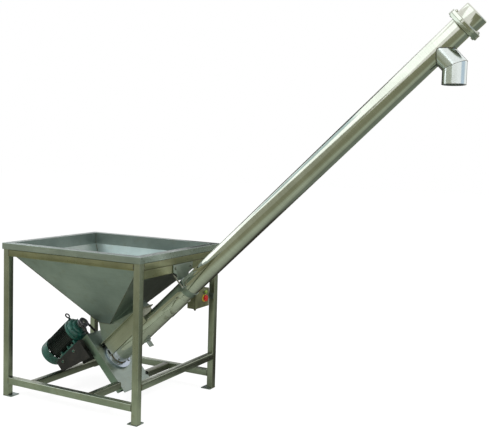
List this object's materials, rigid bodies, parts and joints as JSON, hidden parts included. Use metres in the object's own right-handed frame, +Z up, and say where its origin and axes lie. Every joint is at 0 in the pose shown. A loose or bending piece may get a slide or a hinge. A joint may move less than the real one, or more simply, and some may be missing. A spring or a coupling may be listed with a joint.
{
  "type": "inclined screw conveyor",
  "caption": "Inclined stainless screw conveyor for grain with an open pyramid hopper on a square-tube frame, belt drive motor and bent discharge spout.",
  "frame": {"origin": "middle of the bounding box, on the floor", "axes": "+X towards the discharge end, +Y away from the side the motor stands on, +Z up"},
  "size_m": [2.567, 0.832, 2.1692],
  "materials": {
    "satin_steel": "satin stainless sheet and tube",
    "polished_steel": "polished stainless tube",
    "zinc": "zinc plated",
    "motor_paint": "green machine paint",
    "bed_paint": "dark paint",
    "belt_rubber": "matt",
    "black_plastic": "moulded",
    "box_paint": "grey-green paint",
    "red_plastic": "glossy",
    "green_plastic": "glossy"
  },
  "bodies": {
    "machine": {"belt_guard": "satin_steel", "cable_gland": "box_paint", "clamp_band": "satin_steel", "clamp_nut": "zinc", "conveyor_tube": "polished_steel", "discharge_spout": "polished_steel", "drive_belt": "belt_rubber", "end_cap": "polished_steel", "end_plate": "satin_steel", "eye_bolt": "zinc", "fan_cover": "motor_paint", "foot_plate_back_left": "satin_steel", "foot_plate_back_right": "satin_steel", "foot_plate_front_left": "satin_steel", "foot_plate_front_right": "satin_steel", "hanger_bar": "satin_steel", "hopper": "satin_steel", "hopper_rim": "satin_steel", "inlet_box": "satin_steel", "leg_back_left": "satin_steel", "leg_back_right": "satin_steel", "leg_front_left": "satin_steel", "leg_front_right": "satin_steel", "low_rail_back": "satin_steel", "low_rail_front": "satin_steel", "low_rail_right": "satin_steel", "lower_bearing": "zinc", "motor_beam": "satin_steel", "motor_bed": "bed_paint", "motor_end_shield": "motor_paint", "motor_foot_back": "motor_paint", "motor_foot_front": "motor_paint", "motor_frame": "motor_paint", "outlet_chute": "satin_steel", "plate_beam_back": "satin_steel", "plate_beam_front": "satin_steel", "switch_box": "box_paint", "switch_box_bar": "satin_steel", "terminal_box": "motor_paint", "top_rail_back": "satin_steel", "top_rail_front": "satin_steel", "top_rail_left": "satin_steel", "top_rail_right": "satin_steel", "tube_flange_lower": "polished_steel", "tube_flange_upper": "polished_steel", "tube_hanger": "satin_steel", "tube_lug": "satin_steel", "upper_bearing": "zinc"},
    "screw": {"screw_shaft": "satin_steel", "screw_flight": "satin_steel", "screw_pulley": "zinc"},
    "motor_rotor": {"motor_shaft": "zinc", "motor_pulley": "zinc", "motor_fan": "black_plastic"},
    "stop_button": {"stop_button": "red_plastic"},
    "start_button": {"start_button": "green_plastic"},
    "clean_out_door": {"clean_out_door": "polished_steel"},
    "door_screw": {"door_screw": "zinc"},
    "clamp_knob": {"clamp_knob": "black_plastic"}
  },
  "joints": [
    {"name": "screw_spin", "type": "hinge", "parent": "machine", "child": "screw", "pos_m": [-0.78441, 0, 0.20239], "axis": [0.7254, 0, 0.6884], "continuous": true},
    {"name": "motor_spin", "type": "hinge", "parent": "machine", "child": "motor_rotor", "pos_m": [-0.97715, -0.06, 0.40549], "axis": [0.7254, 0, 0.6884], "continuous": true},
    {"name": "stop_button_press", "type": "slide", "parent": "machine", "child": "stop_button", "axis": [-1, 0, 0], "range_m": [0, 0.004], "stiffness_N_per_m": 400},
    {"name": "start_button_press", "type": "slide", "parent": "machine", "child": "start_button", "axis": [-1, 0, 0], "range_m": [0, 0.004], "stiffness_N_per_m": 300},
    {"name": "clean_out_door_hinge", "type": "hinge", "parent": "machine", "child": "clean_out_door", "pos_m": [-0.35761, -0.06195, 0.59087], "axis": [-0.7254, 0, -0.6884], "range_deg": [0, 100]},
    {"name": "door_screw_turn", "type": "hinge", "parent": "clean_out_door", "child": "door_screw", "pos_m": [-0.34866, 0.06645, 0.58144], "axis": [-0.6884, 0, 0.7254], "continuous": true},
    {"name": "clamp_knob_turn", "type": "hinge", "parent": "machine", "child": "clamp_knob", "pos_m": [-0.27798, -0.07245, 0.71055], "axis": [-0.6884, 0, 0.7254], "continuous": true}
  ],
  "couplings": [
    {"joint": "motor_spin", "follows": "screw_spin", "ratio": 2}
  ]
}
